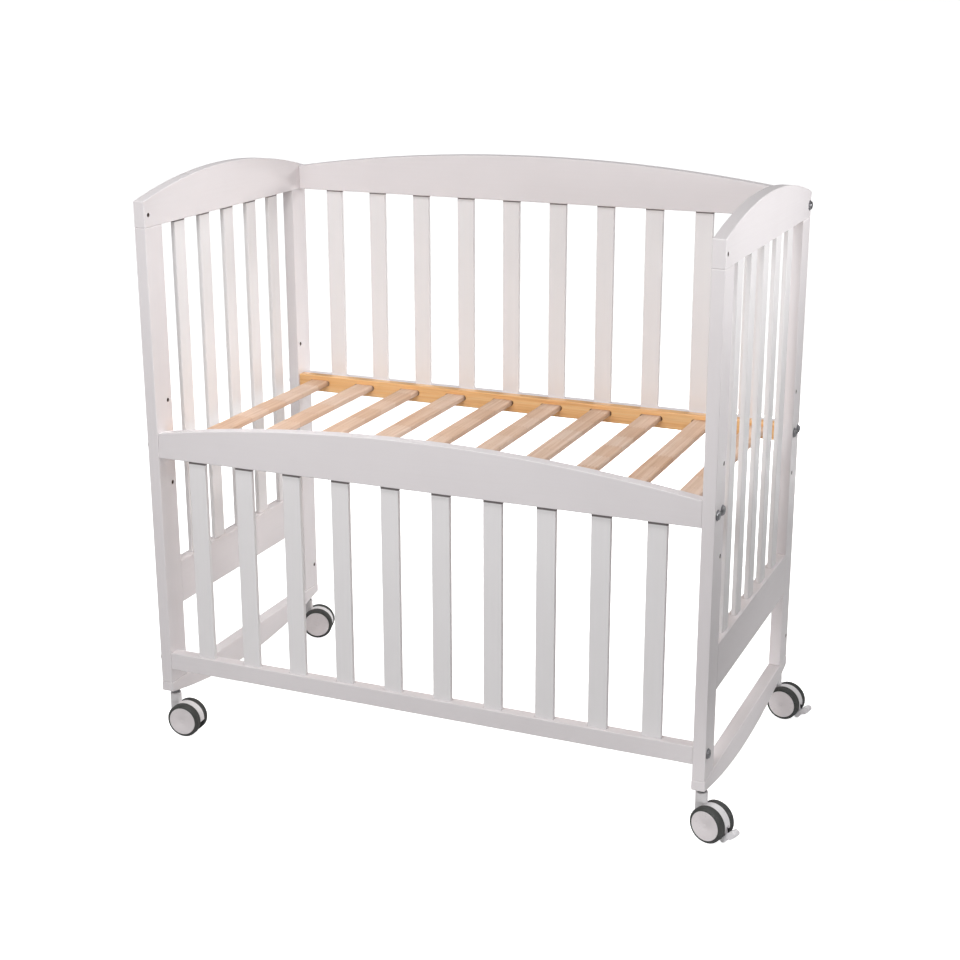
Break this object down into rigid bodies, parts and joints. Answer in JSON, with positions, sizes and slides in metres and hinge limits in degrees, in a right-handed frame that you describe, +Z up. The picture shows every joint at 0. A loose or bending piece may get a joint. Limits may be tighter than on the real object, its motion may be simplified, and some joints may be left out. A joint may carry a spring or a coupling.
{
  "type": "bedside sleeper crib",
  "caption": "Slatted wooden bedside crib on twin-wheel swivel casters, open over a low front panel beside an adult bed, with arched ends, a high back and a slatted mattress base.",
  "frame": {"origin": "floor level, under the middle of the assembled footprint, casters turned as at rest", "axes": "+X along the crib towards the braked casters, +Y from the open front to the high back, +Z up"},
  "size_m": [1.0098, 0.537, 0.9484],
  "materials": {
    "white_paint": "white satin paint on pine, edges eased",
    "varnished_wood": "orange varnished pine",
    "slat_wood": "bare finger-jointed pine",
    "dowel_wood": "bare beech",
    "steel": "zinc-plated",
    "white_plastic": "white moulded plastic",
    "grey_tread": "dark grey soft tread"
  },
  "bodies": {
    "crib": {"left_front_post": "white_paint", "left_back_post": "white_paint", "left_cap_rail": "white_paint", "left_cross_rail": "white_paint", "left_foot_rail": "white_paint", "left_slats": "white_paint", "right_front_post": "white_paint", "right_back_post": "white_paint", "right_cap_rail": "white_paint", "right_cross_rail": "white_paint", "right_foot_rail": "white_paint", "right_slats": "white_paint", "front_panel_bottom_rail": "white_paint", "front_panel_top_rail": "white_paint", "front_panel_slats": "white_paint", "back_panel_bottom_rail": "white_paint", "back_panel_top_rail": "white_paint", "back_panel_slats": "white_paint", "base_front_rail": "varnished_wood", "base_back_rail": "varnished_wood", "base_slats": "slat_wood", "dowels": "dowel_wood", "panel_bolts": "steel", "base_bolts": "steel", "panel_barrel_nuts": "steel", "base_barrel_nuts": "steel", "stem_sockets": "steel", "caster_stems": "steel"},
    "front_left_swivel": {"front_left_caster_housing": "white_plastic", "front_left_axle": "steel"},
    "front_left_outer_wheel_body": {"front_left_outer_wheel": "white_plastic", "front_left_outer_tyre": "grey_tread"},
    "front_left_inner_wheel_body": {"front_left_inner_wheel": "white_plastic", "front_left_inner_tyre": "grey_tread"},
    "front_right_swivel": {"front_right_caster_housing": "white_plastic", "front_right_axle": "steel", "front_right_brake_pin": "steel"},
    "front_right_outer_wheel_body": {"front_right_outer_wheel": "white_plastic", "front_right_outer_tyre": "grey_tread"},
    "front_right_inner_wheel_body": {"front_right_inner_wheel": "white_plastic", "front_right_inner_tyre": "grey_tread"},
    "front_right_brake": {"front_right_brake_pedal": "white_plastic"},
    "back_left_swivel": {"back_left_caster_housing": "white_plastic", "back_left_axle": "steel"},
    "back_left_outer_wheel_body": {"back_left_outer_wheel": "white_plastic", "back_left_outer_tyre": "grey_tread"},
    "back_left_inner_wheel_body": {"back_left_inner_wheel": "white_plastic", "back_left_inner_tyre": "grey_tread"},
    "back_right_swivel": {"back_right_caster_housing": "white_plastic", "back_right_axle": "steel", "back_right_brake_pin": "steel"},
    "back_right_outer_wheel_body": {"back_right_outer_wheel": "white_plastic", "back_right_outer_tyre": "grey_tread"},
    "back_right_inner_wheel_body": {"back_right_inner_wheel": "white_plastic", "back_right_inner_tyre": "grey_tread"},
    "back_right_brake": {"back_right_brake_pedal": "white_plastic"}
  },
  "joints": [
    {"name": "front_left_swivel_turn", "type": "hinge", "parent": "crib", "child": "front_left_swivel", "pos_m": [-0.49094, -0.235, 0.0732], "axis": [0, 0, 1], "continuous": true},
    {"name": "front_left_outer_wheel_spin", "type": "hinge", "parent": "front_left_swivel", "child": "front_left_outer_wheel_body", "pos_m": [-0.47079, -0.23359, 0.0288], "axis": [-0.0698, 0.9976, 0], "continuous": true},
    {"name": "front_left_inner_wheel_spin", "type": "hinge", "parent": "front_left_swivel", "child": "front_left_inner_wheel_body", "pos_m": [-0.47079, -0.23359, 0.0288], "axis": [-0.0698, 0.9976, 0], "continuous": true},
    {"name": "front_right_swivel_turn", "type": "hinge", "parent": "crib", "child": "front_right_swivel", "pos_m": [0.43906, -0.235, 0.0732], "axis": [0, 0, 1], "continuous": true},
    {"name": "front_right_outer_wheel_spin", "type": "hinge", "parent": "front_right_swivel", "child": "front_right_outer_wheel_body", "pos_m": [0.45827, -0.24124, 0.0288], "axis": [0.309, 0.9511, 0], "continuous": true},
    {"name": "front_right_inner_wheel_spin", "type": "hinge", "parent": "front_right_swivel", "child": "front_right_inner_wheel_body", "pos_m": [0.45827, -0.24124, 0.0288], "axis": [0.309, 0.9511, 0], "continuous": true},
    {"name": "front_right_brake_press", "type": "hinge", "parent": "front_right_swivel", "child": "front_right_brake", "pos_m": [0.47681, -0.24727, 0.0313], "axis": [0.309, 0.9511, 0], "range_deg": [0, 12]},
    {"name": "back_left_swivel_turn", "type": "hinge", "parent": "crib", "child": "back_left_swivel", "pos_m": [-0.49094, 0.235, 0.0732], "axis": [0, 0, 1], "continuous": true},
    {"name": "back_left_outer_wheel_spin", "type": "hinge", "parent": "back_left_swivel", "child": "back_left_outer_wheel_body", "pos_m": [-0.47173, 0.24124, 0.0288], "axis": [-0.309, 0.9511, 0], "continuous": true},
    {"name": "back_left_inner_wheel_spin", "type": "hinge", "parent": "back_left_swivel", "child": "back_left_inner_wheel_body", "pos_m": [-0.47173, 0.24124, 0.0288], "axis": [-0.309, 0.9511, 0], "continuous": true},
    {"name": "back_right_swivel_turn", "type": "hinge", "parent": "crib", "child": "back_right_swivel", "pos_m": [0.43906, 0.235, 0.0732], "axis": [0, 0, 1], "continuous": true},
    {"name": "back_right_outer_wheel_spin", "type": "hinge", "parent": "back_right_swivel", "child": "back_right_outer_wheel_body", "pos_m": [0.45892, 0.23132, 0.0288], "axis": [0.1822, 0.9833, 0], "continuous": true},
    {"name": "back_right_inner_wheel_spin", "type": "hinge", "parent": "back_right_swivel", "child": "back_right_inner_wheel_body", "pos_m": [0.45892, 0.23132, 0.0288], "axis": [0.1822, 0.9833, 0], "continuous": true},
    {"name": "back_right_brake_press", "type": "hinge", "parent": "back_right_swivel", "child": "back_right_brake", "pos_m": [0.47809, 0.22776, 0.0313], "axis": [0.1822, 0.9833, 0], "range_deg": [0, 12]}
  ]
}
